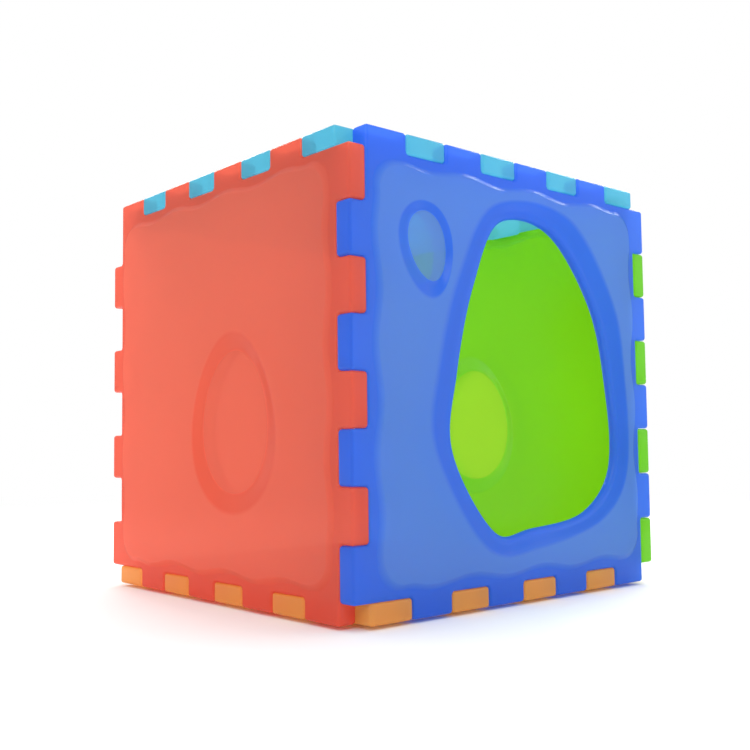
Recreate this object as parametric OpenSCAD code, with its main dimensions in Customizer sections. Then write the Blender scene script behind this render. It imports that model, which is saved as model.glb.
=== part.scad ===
// Interlocking play cube: five hollow plastic panels whose finger teeth push into each other.
// Millimetres, +Z up. The cube stands on its base panel, its front faces -Y and its back is open.

/* [Cube] */
// Outside edge of the cube, tooth tip to tooth tip
cube_edge = 790; // [700:1:900]
// Thickness of a panel at its toothed border
panel_thick = 35; // [28:1:42]
// Gap between the side of a tooth and the next panel's tooth
tooth_gap = 1; // [0.6:0.1:2]
// Gap where a panel's teeth sit against the edge of the next panel
seat_gap = 0.3; // [0.3:0.1:1]

/* [Teeth] */
// Radius on the outer edges of the tooth tips
tip_round = 6; // [2:1:10]
// Radius on the corners of the teeth, seen from the front
tooth_round = 4; // [2:1:8]

/* [Raised field] */
// How far the middle field stands proud of the toothed border, on each face
field_rise = 6; // [3:1:9]
// Distance from the cube's edge to the foot of the raised field
field_inset = 48; // [46:1:60]
// Width of the slope from the border up to the field
field_slope = 12; // [6:1:16]
// Height of the waves along the field's edge
wave_height = 5; // [2:1:7]
// Corner radius of the raised field
field_corner = 48; // [35:1:70]

/* [Doorway] */
// Width of the crawl-through doorway
door_w = 456; // [380:1:470]
// Height of the crawl-through doorway
door_h = 572; // [480:1:590]
// Doorway centre, to the right of the panel's centre
door_x = 57; // [40:1:60]
// Doorway centre, above the panel's centre
door_y = 8; // [0:1:14]
// Thickness of the doorway's lip
lip_thick = 19; // [14:1:24]

/* [Windows] */
// Width of the large oval window pane
pane_w = 216; // [150:1:230]
// Height of the large oval window pane
pane_h = 284; // [220:1:300]
// Large window centre, to the right of the panel's centre
pane_x = 56; // [20:1:70]
// Large window centre, below the panel's centre
pane_drop = 71; // [40:1:90]
// Width of the small oval window pane beside the doorway
peep_w = 84; // [60:1:90]
// Height of the small oval window pane
peep_h = 120; // [90:1:126]
// Small window centre, to the left of the panel's centre
peep_left = 227; // [222:1:232]
// Small window centre, above the panel's centre
peep_up = 214; // [200:1:220]
// Depth of both windows below the toothed border
pane_depth = 4; // [2:1:8]

/* [Material] */
// Wall thickness of the hollow panels
wall = 2.6; // [2.4:0.1:4]

/* [Hidden] */
slots = 8;
half = cube_edge / 2;
thick_half = panel_thick / 2;
body_half = half - panel_thick - seat_gap;
slot_w = (cube_edge - 2 * panel_thick) / slots;
crest = thick_half + field_rise;
field_half = half - field_inset;
sink = 1;
over = 2;

// Doorway outlines run clockwise from the upper left, in halves of the doorway's width and height
lip_line = [
    [-0.39, 0.95], [0.25, 0.94], [0.77, 0.50], [0.96, -0.02], [1.00, -0.59], [0.63, -0.90],
    [-0.06, -0.96], [-0.56, -0.96], [-0.97, -0.47], [-0.92, -0.02], [-0.75, 0.52]
];
flare_line = [
    [-0.54, 1.05], [0.40, 1.06], [0.98, 0.54], [1.12, 0.02], [1.11, -0.62], [0.77, -0.95],
    [-0.05, -1.10], [-0.67, -1.08], [-1.23, -0.47], [-1.23, 0.01], [-1.02, 0.58]
];
// A slope rises from its bottom line to the field in steps: share of the way across, share of the way up
flare_steps = [[0, 0], [0.2, 0.14], [0.5, 0.58], [0.78, 0.9], [1, 1]];
dish_steps = [[0, 0], [0.3, 0.18], [0.7, 0.82], [1, 1]];

// Smooth closed curve through the points p, with m steps between two of them
function curve(p, m) = let (n = len(p)) [
    for (i = [0 : n - 1], j = [0 : m - 1])
        let (a = p[(i + n - 1) % n], b = p[i], c = p[(i + 1) % n], d = p[(i + 2) % n], t = j / m)
            0.5 * (2 * b + (c - a) * t + (2 * a - 5 * b + 4 * c - d) * t * t
            + (3 * b - a - 3 * c + d) * t * t * t)
];

// Egg outline of width w and height h, fatter at one end by k and leaning right by lean degrees
function egg(at, w, h, k, lean, n = 48) = [
    for (i = [0 : n - 1])
        let (q = -360 * i / n, x = w / 2 * cos(q) * (1 + k * sin(q)), y = h / 2 * sin(q))
            at + [x * cos(lean) + y * sin(lean), y * cos(lean) - x * sin(lean)]
];

// Doorway outline in millimetres, grown outwards by g
function door(line, g, m = 6) = [
    for (p = curve(line, m))
        let (q = [p.x * door_w / 2, p.y * door_h / 2])
            [door_x, door_y] + q * (1 + g / norm(q))
];

function blend(a, b, t) = [for (i = [0 : len(a) - 1]) a[i] * (1 - t) + b[i] * t];

// One side of the field: the edge bulges outwards beside each tooth and fades at the corners
function wave(x, side) = let (fade = min(1, (side - abs(x)) / 40))
    wave_height * fade * cos(360 * (x + body_half - slot_w / 2) / (2 * slot_w));
function turn(p, a) = [p.x * cos(a) + p.y * sin(a), p.y * cos(a) - p.x * sin(a)];
function field(inset) = let (e = field_half - inset, r = field_corner - inset / 2, side = e - r, m = 24, c = 6) [
    for (k = [0 : 3], i = [0 : m + c - 1])
        turn(i <= m
            ? [-side + 2 * side * i / m, e + wave(-side + 2 * side * i / m, side)]
            : [side + r * sin(90 * (i - m) / c), side + r * cos(90 * (i - m) / c)], 90 * k)
];

function middle(line) = [for (p = line) 1] * line / len(line);

// Solid skinned through a stack of outlines with the same number of points, lowest first
module skin(lines, heights) {
    n = len(lines[0]);
    last = len(lines) - 1;
    low = middle(lines[0]);
    high = middle(lines[last]);
    polyhedron(
        points = concat(
            [for (k = [0 : last], p = lines[k]) [p.x, p.y, heights[k]]],
            [[low.x, low.y, heights[0]], [high.x, high.y, heights[last]]]
        ),
        faces = concat(
            [for (i = [0 : n - 1]) [(last + 1) * n, (i + 1) % n, i]],
            [for (i = [0 : n - 1]) [(last + 1) * n + 1, last * n + i, last * n + (i + 1) % n]],
            [for (k = [0 : last - 1], i = [0 : n - 1])
                [k * n + i, k * n + (i + 1) % n, (k + 1) * n + (i + 1) % n]],
            [for (k = [0 : last - 1], i = [0 : n - 1])
                [k * n + i, (k + 1) * n + (i + 1) % n, (k + 1) * n + i]]
        )
    );
}

// Dish sunk from the field down to height floor_z; g grows it into a collar that keeps the wall
module dish(outer, inner, floor_z, g) {
    top = crest - max(g - sink / 4, 0);
    skin(
        [for (s = dish_steps) blend(inner, outer, s[0]), outer],
        [for (s = dish_steps) floor_z + s[1] * (top - floor_z), crest + over]
    );
}

// Waisted cut that runs right through a panel, from flare to lip to flare
module waist(outer, lip, lip_z, g) {
    top = crest - max(g - sink / 4, 0);
    lines = [for (s = flare_steps) blend(lip, outer, s[0]), outer];
    heights = [for (s = flare_steps) lip_z + s[1] * (top - lip_z), crest + over];
    last = len(lines) - 1;
    skin(
        concat([for (i = [last : -1 : 0]) lines[i]], lines),
        concat([for (i = [last : -1 : 0]) -heights[i]], heights)
    );
}

// Both faces of a panel
module faces() {
    children();
    mirror([0, 0, 1]) children();
}

module tooth(w, reach, z_half, r) {
    linear_extrude(2 * z_half, center = true) {
        translate([-w / 2, -reach]) square([w, 2 * reach - r]);
        translate([-w / 2 + r, 0]) square([w - 2 * r, reach]);
        for (s = [-1, 1]) translate([s * (w / 2 - r), reach - r]) circle(r, $fn = 32);
    }
}

// Four edges with four teeth each; a tooth starts every edge, going clockwise seen from outside
module tooth_ring(inset, z_half, r) {
    first = -half + panel_thick;
    for (a = [0 : 3], i = [0 : 2 : slots - 1]) {
        left = (i == 0 ? -body_half : first + i * slot_w + tooth_gap / 2) + inset;
        right = first + (i + 1) * slot_w - tooth_gap / 2 - inset;
        rotate(-90 * a) translate([(left + right) / 2, body_half - inset])
            tooth(right - left, half - body_half, z_half, r);
    }
}

// Bar with rounded long edges that trims the tooth tips
module tip_bar() {
    rotate([90, 0, 0]) linear_extrude(2 * half + over, center = true) {
        square([2 * (half - tip_round), panel_thick], center = true);
        square([2 * half, panel_thick - 2 * tip_round], center = true);
        for (x = [-1, 1], z = [-1, 1])
            translate([x * (half - tip_round), z * (thick_half - tip_round)]) circle(tip_round, $fn = 48);
    }
}

module slab() {
    cube([2 * body_half, 2 * body_half, panel_thick], center = true);
    intersection() {
        tooth_ring(0, thick_half, tooth_round);
        tip_bar();
        rotate(90) tip_bar();
    }
}

module field_pad() {
    skin([field(0), field(0), field(field_slope)], [thick_half - sink, thick_half, crest]);
}

module hollow() {
    inner = body_half - wall;
    cube([2 * inner, 2 * inner, panel_thick - 2 * wall], center = true);
    linear_extrude(2 * (crest - wall), center = true) polygon(field(field_slope + wall));
    tooth_ring(wall, thick_half - wall, 1);
}

module shell_panel() {
    difference() {
        union() {
            slab();
            faces() field_pad();
        }
        children();
    }
}

module window_dish(g) {
    outer = egg([pane_x + 10, -pane_drop - 2], pane_w + 64 + 2 * g, pane_h + 46 + 2 * g, -0.17, 0);
    inner = egg([pane_x, -pane_drop], pane_w + 2 * g, pane_h + 2 * g, -0.09, 2);
    dish(outer, inner, thick_half - pane_depth - g, g);
}

module peep_dish(g) {
    outer = egg([-peep_left - 11, peep_up - 4], peep_w + 36 + 2 * g, peep_h + 38 + 2 * g, 0.17, -10);
    inner = egg([-peep_left, peep_up], peep_w + 2 * g, peep_h + 2 * g, 0.13, -15);
    dish(outer, inner, thick_half - pane_depth - g, g);
}

module door_cut(g) {
    waist(door(flare_line, g), door(lip_line, g), lip_thick / 2 - g, g);
}

module window_panel() {
    shell_panel() {
        faces() window_dish(0);
        difference() {
            hollow();
            faces() window_dish(wall);
        }
    }
}

module door_panel() {
    shell_panel() {
        door_cut(0);
        faces() peep_dish(0);
        difference() {
            hollow();
            door_cut(wall);
            faces() peep_dish(wall);
        }
    }
}

// Turns a panel drawn with its outside up (+Z) and its top edge at +Y into one side of the cube
module place(turns) {
    translate([0, field_rise / 2, crest - thick_half + half]) rotate(turns) translate([0, 0, half - thick_half])
        children();
}

module base_panel() {
    color("#E08245") place([180, 0, 0]) window_panel();
}

module front_panel() {
    color("#4A86E0") place([90, 0, 0]) door_panel();
}

module left_panel() {
    color("#E86A4C") place([90, 0, -90]) window_panel();
}

module right_panel() {
    color("#62B90C") place([90, 0, 90]) window_panel();
}

module top_panel() {
    color("#4FB4DC") place([0, 0, 0]) window_panel();
}

base_panel();
front_panel();
left_panel();
right_panel();
top_panel();
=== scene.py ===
import math

import bmesh
import bpy
from mathutils import Matrix, Vector


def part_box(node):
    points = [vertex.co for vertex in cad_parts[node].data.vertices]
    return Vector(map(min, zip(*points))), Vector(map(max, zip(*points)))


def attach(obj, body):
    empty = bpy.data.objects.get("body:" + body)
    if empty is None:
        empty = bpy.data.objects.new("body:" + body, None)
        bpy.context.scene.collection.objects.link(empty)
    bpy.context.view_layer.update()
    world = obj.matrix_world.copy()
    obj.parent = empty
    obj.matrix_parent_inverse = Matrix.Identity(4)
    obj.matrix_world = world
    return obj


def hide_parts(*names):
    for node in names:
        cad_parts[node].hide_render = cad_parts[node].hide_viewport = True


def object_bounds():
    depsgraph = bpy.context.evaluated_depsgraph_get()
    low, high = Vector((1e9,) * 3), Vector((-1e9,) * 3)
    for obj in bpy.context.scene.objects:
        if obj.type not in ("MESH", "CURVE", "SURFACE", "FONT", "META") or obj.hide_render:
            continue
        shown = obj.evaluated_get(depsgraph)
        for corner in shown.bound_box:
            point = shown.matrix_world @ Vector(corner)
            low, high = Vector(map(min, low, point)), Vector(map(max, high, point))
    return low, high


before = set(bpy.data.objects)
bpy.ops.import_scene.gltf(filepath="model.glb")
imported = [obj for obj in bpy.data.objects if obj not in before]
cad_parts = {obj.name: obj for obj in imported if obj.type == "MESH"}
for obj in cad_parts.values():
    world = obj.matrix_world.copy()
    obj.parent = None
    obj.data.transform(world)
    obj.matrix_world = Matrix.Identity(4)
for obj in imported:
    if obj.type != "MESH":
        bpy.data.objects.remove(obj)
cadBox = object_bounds()
print("frame loaded:", sorted(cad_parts))


# panel shapes, in metres, drawn with the outside up and the top edge at +Y
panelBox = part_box("front_panel")
cubeEdge = panelBox[1].x - panelBox[0].x
crest = (panelBox[1].y - panelBox[0].y) / 2  # height of the raised field above mid-wall

plate = {
    "thick": 0.035,
    "slots": 8,
    "fitGap": 0.001,
    "seatGap": 0.0003,
    "cornerRound": 0.0062,
    "cornerSteps": 5,
    "edgeRound": 0.0052,
    "edgeSteps": 5,
    "flatRim": 0.0006,
}
thickHalf = plate["thick"] / 2
half = cubeEdge / 2
slotWide = (cubeEdge - 2 * plate["thick"]) / plate["slots"]
bodyHalf = half - plate["thick"] - plate["seatGap"]

field = {
    "inset": 0.048,
    "slope": 0.012,
    "wave": 0.005,
    "corner": 0.048,
    "sideSteps": 96,
    "cornerSteps": 14,
    "slopeSteps": 11,
    "swellFade": 0.040,
}

doorway = {
    "wide": 0.456,
    "high": 0.572,
    "x": 0.057,
    "y": 0.008,
    "lipHalf": 0.0095,
    "lipRoll": 0.0085,
    "steps": 14,
    "flareSteps": 12,
    "flareCurve": 0.85,
    "rollSteps": 8,
    "rimShadeSpread": 4,
    "lip": [(-0.39, 0.95), (0.25, 0.94), (0.77, 0.50), (0.97, -0.02), (1.01, -0.59), (0.63, -0.895),
            (-0.06, -0.975), (-0.52, -0.97), (-0.965, -0.48), (-0.905, -0.02), (-0.71, 0.52)],
    "flare": [(-0.54, 1.05), (0.40, 1.06), (0.98, 0.54), (1.12, 0.02), (1.12, -0.62), (0.77, -0.95),
              (-0.05, -1.10), (-0.70, -1.07), (-1.24, -0.47), (-1.205, 0.01), (-0.97, 0.58)],
}

window = {
    "wide": 0.206, "high": 0.256, "x": 0.063, "y": -0.072, "fat": -0.09, "lean": 2,
    "rimWide": 0.066, "rimHigh": 0.074, "rimX": 0.007, "rimY": -0.001, "rimFat": -0.17, "rimLean": 0,
    "floor": thickHalf - 0.004, "steps": 128, "slopeSteps": 10, "rimShadeSpread": 5,
}
peephole = {
    "wide": 0.084, "high": 0.120, "x": -0.222, "y": 0.214, "fat": 0.13, "lean": -15,
    "rimWide": 0.042, "rimHigh": 0.047, "rimX": -0.012, "rimY": -0.009, "rimFat": 0.17, "rimLean": -10,
    "floor": thickHalf - 0.004, "steps": 96, "slopeSteps": 10, "rimShadeSpread": 5,
}


def easeStep(t):
    return t * t * (3 - 2 * t)


def rampStep(t, a=0.22):
    # straight ramp whose two ends are rounded over the share a
    if t < a:
        return t * t / (2 * a * (1 - a))
    if t > 1 - a:
        return 1 - (1 - t) ** 2 / (2 * a * (1 - a))
    return (t - a / 2) / (1 - a)


def blendLine(a, b, t):
    return [(p[0] * (1 - t) + q[0] * t, p[1] * (1 - t) + q[1] * t) for p, q in zip(a, b)]


def closedCurve(points, steps):
    # smooth closed curve through the points
    n, line = len(points), []
    for i in range(n):
        a, b, c, d = (Vector(points[(i + k) % n]) for k in (-1, 0, 1, 2))
        for j in range(steps):
            t = j / steps
            line.append(0.5 * (2 * b + (c - a) * t + (2 * a - 5 * b + 4 * c - d) * t * t
                               + (3 * b - a - 3 * c + d) * t ** 3))
    return line


def doorLine(points, grow):
    line = []
    for p in closedCurve(points, doorway["steps"]):
        q = Vector((p.x * doorway["wide"] / 2, p.y * doorway["high"] / 2))
        q = q * (1 + grow / q.length)
        line.append((doorway["x"] + q.x, doorway["y"] + q.y))
    return line


def eggLine(x, y, wide, high, fat, lean, steps):
    a, line = math.radians(lean), []
    for i in range(steps):
        q = -2 * math.pi * i / steps
        u = wide / 2 * math.cos(q) * (1 + fat * math.sin(q))
        v = high / 2 * math.sin(q)
        line.append((x + u * math.cos(a) + v * math.sin(a), y + v * math.cos(a) - u * math.sin(a)))
    return line


def fieldLine(inset):
    # square with round corners whose sides swell beside every tooth
    e = half - field["inset"] - inset
    r = field["corner"] - inset / 2
    side = e - r
    m, c, line = field["sideSteps"], field["cornerSteps"], []
    for k in range(4):
        a = math.radians(90 * k)
        for i in range(m + c):
            if i <= m:
                x = -side + 2 * side * i / m
                fade = min(1, (side - abs(x)) / field["swellFade"])
                y = e + field["wave"] * fade * math.cos(math.pi * (x + bodyHalf - slotWide / 2) / slotWide)
            else:
                t = math.radians(90 * (i - m) / c)
                x, y = side + r * math.sin(t), side + r * math.cos(t)
            line.append((x * math.cos(a) + y * math.sin(a), y * math.cos(a) - x * math.sin(a)))
    return line


def toothPath():
    # corners of the toothed outline, clockwise; each side starts with a tooth
    path = []
    for k in range(4):
        a = math.radians(90 * k)
        corners = []
        for s in range(0, plate["slots"], 2):
            left = -half + plate["thick"] + slotWide * s + plate["fitGap"] / 2
            right = left + slotWide - plate["fitGap"]
            if s == 0:
                left = -bodyHalf
            else:
                corners.append((left, bodyHalf))
            corners += [(left, half), (right, half), (right, bodyHalf)]
        for x, y in corners:
            path.append((x * math.cos(a) + y * math.sin(a), y * math.cos(a) - x * math.sin(a)))
    return path


def addNode(tree, kind, at, **settings):
    node = tree.nodes.new(kind)
    node.location = at
    for key, value in settings.items():
        setattr(node, key, value)
    return node


def buildRimTree():
    # a rounded rim that follows the toothed outline
    tree = bpy.data.node_groups.new("toothedRim", "GeometryNodeTree")
    face = tree.interface
    face.new_socket("Geometry", in_out="INPUT", socket_type="NodeSocketGeometry")
    for name, key in (("Thickness", "thick"), ("Corner Round", "cornerRound"), ("Edge Round", "edgeRound"),
                      ("Flat Rim", "flatRim")):
        s = face.new_socket(name, in_out="INPUT", socket_type="NodeSocketFloat")
        s.default_value = plate[key]
        s.min_value = 0
    for name, key in (("Corner Steps", "cornerSteps"), ("Edge Steps", "edgeSteps")):
        s = face.new_socket(name, in_out="INPUT", socket_type="NodeSocketInt")
        s.default_value = plate[key]
        s.min_value = 1
    face.new_socket("Material", in_out="INPUT", socket_type="NodeSocketMaterial")
    face.new_socket("Geometry", in_out="OUTPUT", socket_type="NodeSocketGeometry")
    link = tree.links.new
    given = addNode(tree, "NodeGroupInput", (-1200, 0))
    result = addNode(tree, "NodeGroupOutput", (1100, 0))

    # the outline, with its corners rounded
    path = addNode(tree, "GeometryNodeMeshToCurve", (-900, 300))
    link(given.outputs["Geometry"], path.inputs["Mesh"])
    rounded = addNode(tree, "GeometryNodeFilletCurve", (-650, 300))
    rounded.mode = "POLY"
    link(path.outputs["Curve"], rounded.inputs["Curve"])
    link(given.outputs["Corner Round"], rounded.inputs["Radius"])
    link(given.outputs["Corner Steps"], rounded.inputs["Count"])
    rounded.inputs["Limit Radius"].default_value = True

    # the section: a bracket of four corners, its outer two rounded
    reach = addNode(tree, "ShaderNodeMath", (-950, -100), operation="ADD")
    link(given.outputs["Edge Round"], reach.inputs[0])
    link(given.outputs["Flat Rim"], reach.inputs[1])
    halfThick = addNode(tree, "ShaderNodeMath", (-950, -300), operation="MULTIPLY")
    link(given.outputs["Thickness"], halfThick.inputs[0])
    halfThick.inputs[1].default_value = 0.5
    under = addNode(tree, "ShaderNodeMath", (-750, -400), operation="MULTIPLY")
    link(halfThick.outputs[0], under.inputs[0])
    under.inputs[1].default_value = -1
    corners = []
    for i, (inwards, height) in enumerate(((True, under), (False, under), (False, halfThick), (True, halfThick))):
        c = addNode(tree, "ShaderNodeCombineXYZ", (-550, -100 - 140 * i))
        if inwards:
            link(reach.outputs[0], c.inputs["X"])
        link(height.outputs[0], c.inputs["Y"])
        corners.append(c)
    row = addNode(tree, "GeometryNodeMeshLine", (-550, 120), mode="OFFSET")
    row.inputs["Count"].default_value = 4
    index = addNode(tree, "GeometryNodeInputIndex", (-350, -250))
    pick = addNode(tree, "GeometryNodeIndexSwitch", (-350, -350), data_type="VECTOR")
    while len(pick.index_switch_items) < 4:
        pick.index_switch_items.new()
    link(index.outputs[0], pick.inputs["Index"])
    for i, c in enumerate(corners):
        link(c.outputs[0], pick.inputs[i + 1])
    placed = addNode(tree, "GeometryNodeSetPosition", (-150, 100))
    link(row.outputs["Mesh"], placed.inputs["Geometry"])
    link(pick.outputs[0], placed.inputs["Position"])
    bracket = addNode(tree, "GeometryNodeMeshToCurve", (50, 100))
    link(placed.outputs["Geometry"], bracket.inputs["Mesh"])
    section = addNode(tree, "GeometryNodeFilletCurve", (250, 100))
    section.mode = "POLY"
    link(bracket.outputs["Curve"], section.inputs["Curve"])
    link(given.outputs["Edge Round"], section.inputs["Radius"])
    link(given.outputs["Edge Steps"], section.inputs["Count"])

    swept = addNode(tree, "GeometryNodeCurveToMesh", (500, 250))
    link(rounded.outputs["Curve"], swept.inputs["Curve"])
    link(section.outputs["Curve"], swept.inputs["Profile Curve"])
    real = addNode(tree, "GeometryNodeRealizeInstances", (700, 150))
    link(swept.outputs["Mesh"], real.inputs["Geometry"])
    finish = addNode(tree, "GeometryNodeSetMaterial", (900, 100))
    link(real.outputs["Geometry"], finish.inputs["Geometry"])
    link(given.outputs["Material"], finish.inputs["Material"])
    link(finish.outputs["Geometry"], result.inputs["Geometry"])
    return tree


def sweepRim(tree, material):
    # runs the tree once on the outline and returns the plain mesh it makes
    path = toothPath()
    line = bpy.data.meshes.new("toothPath")
    line.from_pydata([(x, y, 0) for x, y in path], [(i, (i + 1) % len(path)) for i in range(len(path))], [])
    holder = bpy.data.objects.new("toothPath", line)
    bpy.context.scene.collection.objects.link(holder)
    maker = holder.modifiers.new("toothedRim", "NODES")
    maker.node_group = tree
    sizes = {
        "Thickness": plate["thick"], "Corner Round": plate["cornerRound"], "Edge Round": plate["edgeRound"],
        "Flat Rim": plate["flatRim"], "Corner Steps": plate["cornerSteps"], "Edge Steps": plate["edgeSteps"],
        "Material": material,
    }
    for item in tree.interface.items_tree:
        if item.in_out == "INPUT" and item.name in sizes:
            maker[item.identifier] = sizes[item.name]
    graph = bpy.context.evaluated_depsgraph_get()
    made = bpy.data.meshes.new_from_object(holder.evaluated_get(graph))
    holder.modifiers.remove(maker)
    bpy.data.objects.remove(holder)
    bpy.data.meshes.remove(line)
    return made


# the rest of a panel is field, dishes and doorway, made of rings and flat fills
def ringOf(bm, line, z, rim, pane=0.0):
    rimLayer, paneLayer = (bm.verts.layers.float[name] for name in ("rimTintShadeMask", "paneMask"))
    ring = [bm.verts.new((x, y, z)) for x, y in line]
    for v in ring:
        v[rimLayer], v[paneLayer] = rim, pane
    return ring


def bridgeRings(bm, rings):
    for low, high in zip(rings, rings[1:]):
        for i in range(len(low)):
            j = (i + 1) % len(low)
            bm.faces.new((low[i], low[j], high[j], high[i]))


def edgesOf(bm, ring):
    return [bm.edges.get((ring[i - 1], ring[i])) for i in range(len(ring))]


def fillFlat(bm, edges):
    bmesh.ops.triangle_fill(bm, use_beauty=True, use_dissolve=False, edges=edges)


def grownEgg(egg, grow):
    return eggLine(egg["x"], egg["y"], egg["wide"] + 2 * grow, egg["high"] + 2 * grow,
                   egg["fat"], egg["lean"], egg["steps"])


def grownEggRim(egg, grow):
    return eggLine(egg["x"] + egg["rimX"], egg["y"] + egg["rimY"], egg["wide"] + egg["rimWide"] + 2 * grow,
                   egg["high"] + egg["rimHigh"] + 2 * grow, egg["rimFat"], egg["rimLean"], egg["steps"])


def addDish(bm, egg, side):
    # smooth slope from the field down to the clear pane, then the pane itself
    guard = plate["flatRim"]
    steps = egg["slopeSteps"]
    inner, outer = grownEgg(egg, 0), grownEggRim(egg, 0)
    rings = [ringOf(bm, grownEggRim(egg, guard), side * crest, 0.0)]
    for i in range(steps + 1):
        t = 1 - i / steps
        z = egg["floor"] + (crest - egg["floor"]) * rampStep(t)
        # the rim mask grows towards the bottom of the slope: painted shade deeper in the recess, over the rim's
        # own tint
        rings.append(ringOf(bm, blendLine(inner, outer, t), side * z, min(1.0, egg["rimShadeSpread"] * (1 - t))))
    # pane mask: the thin web is paler and more see-through; its paler colour is partly painted light coming
    # through
    rings.append(ringOf(bm, grownEgg(egg, -2 * guard), side * egg["floor"], 0.0, 1.0))
    bridgeRings(bm, rings)
    fillFlat(bm, edgesOf(bm, rings[-1]))
    return rings[0]


def addDoorway(bm):
    # from the front flare over the rolled lip to the back flare
    roll, lipHalf = doorway["lipRoll"], doorway["lipHalf"]
    lip, shelf = doorLine(doorway["lip"], 0), doorLine(doorway["lip"], roll)
    flare = doorLine(doorway["flare"], 0)
    front = [(doorLine(doorway["flare"], plate["flatRim"]), crest, 0.0)]
    for i in range(doorway["flareSteps"] + 1):
        t = 1 - i / doorway["flareSteps"]
        z = lipHalf + (crest - lipHalf) * easeStep(t) ** doorway["flareCurve"]
        # the rim mask grows down the flare and covers the lip: painted shade inside the doorway, over the rim's
        # own tint
        front.append((blendLine(shelf, flare, t), z, min(1.0, doorway["rimShadeSpread"] * (1 - t))))
    for i in range(1, doorway["rollSteps"]):
        a = math.radians(90 * i / doorway["rollSteps"])
        front.append((doorLine(doorway["lip"], roll * (1 - math.sin(a))), lipHalf * math.cos(a), 1.0))
    rings = [ringOf(bm, line, z, rim) for line, z, rim in front]
    rings.append(ringOf(bm, lip, 0.0, 1.0))
    rings += [ringOf(bm, line, -z, rim) for line, z, rim in reversed(front)]
    bridgeRings(bm, rings)
    return rings[0], rings[-1]


def addField(bm, side):
    guard = plate["flatRim"]
    rings = [ringOf(bm, fieldLine(-guard), side * thickHalf, 1.0)]
    steps = field["slopeSteps"]
    for i in range(steps + 1):
        t = i / steps
        z = thickHalf + (crest - thickHalf) * rampStep(t)
        # the rim mask fades up the field's slope: the low border's tint with painted shade at the foot
        rings.append(ringOf(bm, fieldLine(field["slope"] * t), side * z, 1 - t))
    rings.append(ringOf(bm, fieldLine(field["slope"] + guard), side * crest, 0.0))
    bridgeRings(bm, rings)
    return rings[0], rings[-1]


def buildPanel(name, rimMesh, turns, material, withDoor):
    bm = bmesh.new()
    bm.from_mesh(rimMesh)
    rimLayer = bm.verts.layers.float.new("rimTintShadeMask")
    bm.verts.layers.float.new("paneMask")
    # the whole toothed rim takes the rim colour: the thick plastic's deeper tint plus painted shade
    for v in bm.verts:
        v[rimLayer] = 1.0
    bmesh.ops.remove_doubles(bm, verts=bm.verts[:], dist=1e-6)
    openEdges = [e for e in bm.edges if e.is_boundary]
    doors = addDoorway(bm) if withDoor else None
    for n, side in enumerate((1, -1)):
        outline = [e for e in openEdges if side * (e.verts[0].co.z + e.verts[1].co.z) > 0]
        foot, top = addField(bm, side)
        fillFlat(bm, outline + edgesOf(bm, foot))
        holes = edgesOf(bm, addDish(bm, peephole if withDoor else window, side))
        if withDoor:
            holes += edgesOf(bm, doors[n])
        fillFlat(bm, edgesOf(bm, top) + holes)
    bmesh.ops.recalc_face_normals(bm, faces=bm.faces[:])
    loose = sum(1 for e in bm.edges if len(e.link_faces) != 2)
    low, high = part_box(name)
    turn = Matrix.Identity(4)
    for axis, angle in zip("XYZ", turns):
        turn = Matrix.Rotation(math.radians(angle), 4, axis) @ turn
    bm.transform(Matrix.Translation((low + high) / 2) @ turn)
    mesh = bpy.data.meshes.new(name + "Shell")
    for f in bm.faces:
        f.smooth = True
        f.material_index = 0
    bm.to_mesh(mesh)
    print("panel", name, "faces", len(bm.faces), "open edges", loose)
    bm.free()
    mesh.materials.clear()
    mesh.materials.append(material)
    panel = bpy.data.objects.new(name + "_shell", mesh)
    bpy.context.scene.collection.objects.link(panel)
    return panel


# tinted, slightly see-through moulded plastic; colours as seen on screen, 0 to 255
common = {
    "waveScale": 4.5, "waveHeight": 1.0, "skinScale": 240.0, "skinHeight": 0.03, "cloud": 0.10,
    "bump": 0.4, "bumpDepth": 0.002, "gloss": (0.14, 0.24), "bend": 1.49, "glow": 0.52, "passPower": 0.55,
    "clear": (0.22, 0.40),
}
# rim colours: the thick plastic's deeper tint plus painted shade on the low border and in the recesses
finishes = {
    # pane colours: the thin web's paler tint plus painted light shining through it
    "blue": dict(common, field=(98, 152, 238), rim=(58, 122, 248), pane=(150, 200, 240),
                 clearTint=(160, 200, 250), clear=(0.20, 0.60)),
    "red": dict(common, field=(250, 122, 98), rim=(244, 104, 80), pane=(250, 120, 98),
                clearTint=(255, 180, 160)),
    "green": dict(common, field=(122, 214, 12), rim=(112, 208, 30), pane=(165, 218, 40),
                  clearTint=(200, 245, 120)),
    "cyan": dict(common, field=(88, 190, 220), rim=(84, 188, 218), pane=(130, 210, 228),
                 clearTint=(170, 230, 240)),
    "orange": dict(common, field=(255, 184, 100), rim=(255, 184, 96), pane=(255, 190, 120),
                   clearTint=(255, 215, 165)),
}
skinInputs = (("Wave Scale", "waveScale"), ("Wave Height", "waveHeight"),
              ("Skin Scale", "skinScale"), ("Skin Height", "skinHeight"))


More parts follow.
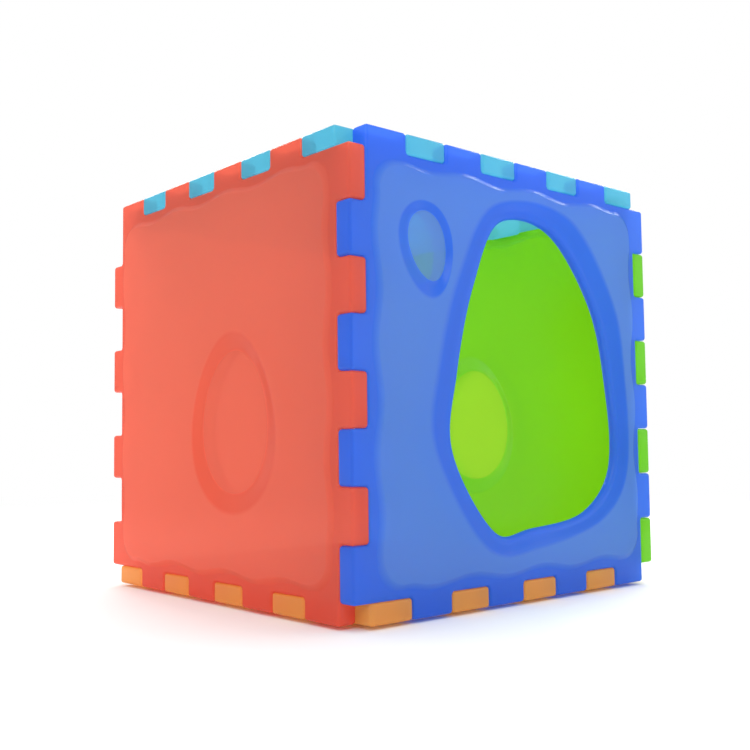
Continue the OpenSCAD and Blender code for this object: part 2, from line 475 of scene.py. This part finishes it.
def buildFlowGroup():
    # height of the soft waves and the fine skin that blow moulding leaves
    group = bpy.data.node_groups.new("mouldedSkin", "ShaderNodeTree")
    face = group.interface
    for name, key in skinInputs:
        face.new_socket(name, in_out="INPUT", socket_type="NodeSocketFloat").default_value = common[key]
    face.new_socket("Height", in_out="OUTPUT", socket_type="NodeSocketFloat")
    face.new_socket("Cloud", in_out="OUTPUT", socket_type="NodeSocketFloat")
    given = addNode(group, "NodeGroupInput", (-800, 0))
    result = addNode(group, "NodeGroupOutput", (500, 0))
    place = addNode(group, "ShaderNodeTexCoord", (-800, 300))
    link = group.links.new
    wave = addNode(group, "ShaderNodeTexNoise", (-500, 300))
    wave.inputs["Detail"].default_value = 1.5
    skin = addNode(group, "ShaderNodeTexNoise", (-500, 0))
    skin.inputs["Detail"].default_value = 2.0
    for noise, scale in ((wave, "Wave Scale"), (skin, "Skin Scale")):
        link(place.outputs["Object"], noise.inputs["Vector"])
        link(given.outputs[scale], noise.inputs["Scale"])
    a = addNode(group, "ShaderNodeMath", (-200, 300), operation="MULTIPLY")
    link(wave.outputs[0], a.inputs[0])
    link(given.outputs["Wave Height"], a.inputs[1])
    b = addNode(group, "ShaderNodeMath", (-200, 0), operation="MULTIPLY")
    link(skin.outputs[0], b.inputs[0])
    link(given.outputs["Skin Height"], b.inputs[1])
    total = addNode(group, "ShaderNodeMath", (100, 150), operation="ADD")
    link(a.outputs[0], total.inputs[0])
    link(b.outputs[0], total.inputs[1])
    link(total.outputs[0], result.inputs["Height"])
    link(wave.outputs[0], result.inputs["Cloud"])
    return group


def buildPigmentGroup():
    # the field's colour, deeper on the rim as the thick plastic's own tint plus painted shade on the low border,
    # recess slopes and doorway lip, and lighter in the pane as the thin web's paler tint plus painted light
    # coming through it
    group = bpy.data.node_groups.new("pigment", "ShaderNodeTree")
    face = group.interface
    for name in ("Field Color", "Rim Tint Shade Color", "Pane Tint Backlight Color"):
        face.new_socket(name, in_out="INPUT", socket_type="NodeSocketColor")
    face.new_socket("Cloud", in_out="INPUT", socket_type="NodeSocketFloat")
    face.new_socket("Cloud Amount", in_out="INPUT", socket_type="NodeSocketFloat").default_value = common["cloud"]
    face.new_socket("Color", in_out="OUTPUT", socket_type="NodeSocketColor")
    face.new_socket("Rim", in_out="OUTPUT", socket_type="NodeSocketFloat")
    face.new_socket("Pane", in_out="OUTPUT", socket_type="NodeSocketFloat")
    link = group.links.new
    given = addNode(group, "NodeGroupInput", (-900, 0))
    result = addNode(group, "NodeGroupOutput", (600, 0))
    rim = addNode(group, "ShaderNodeAttribute", (-900, 300), attribute_name="rimTintShadeMask")
    pane = addNode(group, "ShaderNodeAttribute", (-900, -300), attribute_name="paneMask")
    # rim colour: deeper tint of the thick rim plus painted shade in the low and recessed places
    first = addNode(group, "ShaderNodeMix", (-500, 200), data_type="RGBA")
    link(rim.outputs["Fac"], first.inputs["Factor"])
    link(given.outputs["Field Color"], first.inputs["A"])
    link(given.outputs["Rim Tint Shade Color"], first.inputs["B"])
    # pane colour: the thin web's paler tint plus painted light shining through it
    second = addNode(group, "ShaderNodeMix", (-250, 100), data_type="RGBA")
    link(pane.outputs["Fac"], second.inputs["Factor"])
    link(first.outputs["Result"], second.inputs["A"])
    link(given.outputs["Pane Tint Backlight Color"], second.inputs["B"])
    swing = addNode(group, "ShaderNodeMath", (-500, -200), operation="SUBTRACT")
    link(given.outputs["Cloud"], swing.inputs[0])
    swing.inputs[1].default_value = 0.5
    amount = addNode(group, "ShaderNodeMath", (-300, -200), operation="MULTIPLY_ADD")
    link(swing.outputs[0], amount.inputs[0])
    link(given.outputs["Cloud Amount"], amount.inputs[1])
    amount.inputs[2].default_value = 1.0
    tone = addNode(group, "ShaderNodeVectorMath", (150, 100), operation="SCALE")
    link(second.outputs["Result"], tone.inputs[0])
    link(amount.outputs[0], tone.inputs["Scale"])
    link(tone.outputs[0], result.inputs["Color"])
    link(rim.outputs["Fac"], result.inputs["Rim"])
    link(pane.outputs["Fac"], result.inputs["Pane"])
    return group


def linear(color):
    # screen colour to the linear values that a shader takes
    made = []
    for c in color:
        c = c / 255
        made.append(c / 12.92 if c <= 0.04045 else ((c + 0.055) / 1.055) ** 2.4)
    return (*made, 1.0)


def makePlastic(name, finish, flow, pigment):
    mat = bpy.data.materials.new(name)
    mat.use_nodes = True
    tree = mat.node_tree
    tree.nodes.clear()
    link = tree.links.new
    out = addNode(tree, "ShaderNodeOutputMaterial", (900, 0))
    skin = addNode(tree, "ShaderNodeGroup", (-900, -200), node_tree=flow)
    for socket, key in skinInputs:
        skin.inputs[socket].default_value = finish[key]
    tint = addNode(tree, "ShaderNodeGroup", (-600, 200), node_tree=pigment)
    for socket, key in (("Field Color", "field"), ("Rim Tint Shade Color", "rim"), ("Pane Tint Backlight Color", "pane")):
        tint.inputs[socket].default_value = linear(finish[key])
    tint.inputs["Cloud Amount"].default_value = finish["cloud"]
    link(skin.outputs["Cloud"], tint.inputs["Cloud"])
    bump = addNode(tree, "ShaderNodeBump", (-600, -300))
    bump.inputs["Strength"].default_value = finish["bump"]
    bump.inputs["Distance"].default_value = finish["bumpDepth"]
    link(skin.outputs["Height"], bump.inputs["Height"])
    gloss = addNode(tree, "ShaderNodeMapRange", (-350, -150))
    gloss.inputs["To Min"].default_value = finish["gloss"][0]
    gloss.inputs["To Max"].default_value = finish["gloss"][1]
    link(skin.outputs["Cloud"], gloss.inputs["Value"])
    solid = addNode(tree, "ShaderNodeBsdfPrincipled", (-50, 200))
    link(tint.outputs["Color"], solid.inputs["Base Color"])
    link(gloss.outputs["Result"], solid.inputs["Roughness"])
    link(bump.outputs["Normal"], solid.inputs["Normal"])
    solid.inputs["IOR"].default_value = finish["bend"]
    light = addNode(tree, "ShaderNodeGamma", (-300, -350))
    light.inputs["Gamma"].default_value = finish["passPower"]
    link(tint.outputs["Color"], light.inputs["Color"])
    glow = addNode(tree, "ShaderNodeBsdfTranslucent", (-50, -250))
    link(light.outputs["Color"], glow.inputs["Color"])
    body = addNode(tree, "ShaderNodeMixShader", (300, 100))
    body.inputs["Fac"].default_value = finish["glow"]
    link(solid.outputs[0], body.inputs[1])
    link(glow.outputs[0], body.inputs[2])
    clear = addNode(tree, "ShaderNodeBsdfTransparent", (300, -200))
    clear.inputs["Color"].default_value = linear(finish["clearTint"])
    share = addNode(tree, "ShaderNodeMapRange", (300, 350))
    share.inputs["To Min"].default_value = finish["clear"][0]
    share.inputs["To Max"].default_value = finish["clear"][1]
    link(tint.outputs["Pane"], share.inputs["Value"])
    seen = addNode(tree, "ShaderNodeMixShader", (600, 100))
    link(share.outputs["Result"], seen.inputs["Fac"])
    link(body.outputs[0], seen.inputs[1])
    link(clear.outputs[0], seen.inputs[2])
    link(seen.outputs[0], out.inputs["Surface"])
    return mat


panels = {
    "base_panel": {"body": "base", "turns": (180, 0, 0), "color": "orange", "door": False},
    "front_panel": {"body": "front", "turns": (90, 0, 0), "color": "blue", "door": True},
    "left_panel": {"body": "left", "turns": (90, 0, -90), "color": "red", "door": False},
    "right_panel": {"body": "right", "turns": (90, 0, 90), "color": "green", "door": False},
    "top_panel": {"body": "top", "turns": (0, 0, 0), "color": "cyan", "door": False},
}

flowGroup, pigmentGroup = buildFlowGroup(), buildPigmentGroup()
plastics = {c: makePlastic(c + "Plastic", f, flowGroup, pigmentGroup) for c, f in finishes.items()}
print("materials made:", sorted(plastics))

rimTree = buildRimTree()
for name, spec in panels.items():
    rimMesh = sweepRim(rimTree, plastics[spec["color"]])
    shell = buildPanel(name, rimMesh, spec["turns"], plastics[spec["color"]], spec["door"])
    bpy.data.meshes.remove(rimMesh)
    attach(shell, spec["body"])
    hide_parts(name)
print("panels made:", len(panels))


# pale floor and soft light from all sides
centre = (cadBox[0] + cadBox[1]) / 2
studio = {
    "floorSize": 60.0,
    "floorColor": (0.90, 0.90, 0.90, 1.0),
    "floorRough": 0.8,
    "floorShine": 0.2,
    "floorDrop": 0.0005,
    "fade": (1.2, 4.0),
    "worldStrength": 0.85,
    "keyPower": 50.0,
    "fillPower": 16.0,
    "topPower": 45.0,
    "stripPower": 28.0,
    "wideLamp": (2.4, 2.4),
    "topLamp": (3.0, 3.0),
    "strip": (0.9, 0.9),
}
# stands low, in front of the corner between the left and front panels
shot = {
    "across": -1.380, "back": -1.576, "height": -0.113,
    "yaw": 41.13, "pitch": 3.88, "roll": -0.69, "lens": 48.24, "sensor": 36,
}


def makeFloor():
    mesh = bpy.data.meshes.new("floor")
    s = studio["floorSize"] / 2
    z = cadBox[0].z - studio["floorDrop"]
    mesh.from_pydata([(-s, -s, z), (s, -s, z), (s, s, z), (-s, s, z)], [], [(0, 1, 2, 3)])
    floor = bpy.data.objects.new("floor", mesh)
    bpy.context.scene.collection.objects.link(floor)
    mat = bpy.data.materials.new("paleFloor")
    mat.use_nodes = True
    tree = mat.node_tree
    solid, out = tree.nodes["Principled BSDF"], tree.nodes["Material Output"]
    solid.inputs["Base Color"].default_value = studio["floorColor"]
    solid.inputs["Roughness"].default_value = studio["floorRough"]
    solid.inputs["Specular IOR Level"].default_value = studio["floorShine"]
    place = addNode(tree, "ShaderNodeTexCoord", (-900, 300))
    away = addNode(tree, "ShaderNodeVectorMath", (-700, 300), operation="LENGTH")
    tree.links.new(place.outputs["Object"], away.inputs[0])
    fade = addNode(tree, "ShaderNodeMapRange", (-500, 300), interpolation_type="SMOOTHSTEP")
    fade.inputs["From Min"].default_value, fade.inputs["From Max"].default_value = studio["fade"]
    tree.links.new(away.outputs["Value"], fade.inputs["Value"])
    white = addNode(tree, "ShaderNodeEmission", (0, -300))
    white.inputs["Color"].default_value = (1, 1, 1, 1)
    white.inputs["Strength"].default_value = 1.0
    join = addNode(tree, "ShaderNodeMixShader", (300, 100))
    tree.links.new(fade.outputs["Result"], join.inputs["Fac"])
    tree.links.new(solid.outputs[0], join.inputs[1])
    tree.links.new(white.outputs[0], join.inputs[2])
    tree.links.new(join.outputs[0], out.inputs["Surface"])
    mesh.materials.append(mat)


def makeWorld():
    world = bpy.data.worlds.new("studioSky")
    bpy.context.scene.world = world
    world.use_nodes = True
    tree = world.node_tree
    tree.nodes.clear()
    out = addNode(tree, "ShaderNodeOutputWorld", (400, 0))
    path = addNode(tree, "ShaderNodeLightPath", (-400, 300))
    lamp = addNode(tree, "ShaderNodeBackground", (-100, 0))
    lamp.inputs["Color"].default_value = (1, 1, 1, 1)
    lamp.inputs["Strength"].default_value = studio["worldStrength"]
    shown = addNode(tree, "ShaderNodeBackground", (-100, -200))
    shown.inputs["Color"].default_value = (1, 1, 1, 1)
    shown.inputs["Strength"].default_value = 1.0
    pick = addNode(tree, "ShaderNodeMixShader", (200, 0))
    tree.links.new(path.outputs["Is Camera Ray"], pick.inputs["Fac"])
    tree.links.new(lamp.outputs[0], pick.inputs[1])
    tree.links.new(shown.outputs[0], pick.inputs[2])
    tree.links.new(pick.outputs[0], out.inputs["Surface"])


def makeLamp(name, offset, size, power):
    data = bpy.data.lights.new(name, "AREA")
    data.shape = "RECTANGLE"
    data.size, data.size_y = size
    data.energy = power
    lamp = bpy.data.objects.new(name, data)
    lamp.location = centre + Vector(offset)
    lamp.rotation_mode = "QUATERNION"
    lamp.rotation_quaternion = (-Vector(offset)).to_track_quat("-Z", "Y")
    bpy.context.scene.collection.objects.link(lamp)


def makeCamera():
    data = bpy.data.cameras.new("camera")
    data.sensor_width = shot["sensor"]
    data.lens = shot["lens"]
    camera = bpy.data.objects.new("camera", data)
    camera.matrix_world = (
        Matrix.Translation(centre + Vector((shot["across"], shot["back"], shot["height"])))
        @ Matrix.Rotation(math.radians(-shot["yaw"]), 4, "Z")
        @ Matrix.Rotation(math.radians(90 + shot["pitch"]), 4, "X")
        @ Matrix.Rotation(math.radians(shot["roll"]), 4, "Z")
    )
    bpy.context.scene.collection.objects.link(camera)
    bpy.context.scene.camera = camera


makeFloor()
makeWorld()
makeLamp("keyLamp", (-2.6, -2.4, 2.6), studio["wideLamp"], studio["keyPower"])
makeLamp("fillLamp", (2.6, -2.6, 1.2), studio["wideLamp"], studio["fillPower"])
makeLamp("topLamp", (0.2, 0.3, 3.2), studio["topLamp"], studio["topPower"])
makeLamp("rightStrip", (1.9, 0.0, 1.8), studio["strip"], studio["stripPower"])
makeLamp("backStrip", (0.25, 2.0, 1.75), studio["strip"], studio["stripPower"])
makeCamera()
bpy.context.scene.view_settings.view_transform = "Standard"
print("studio made")
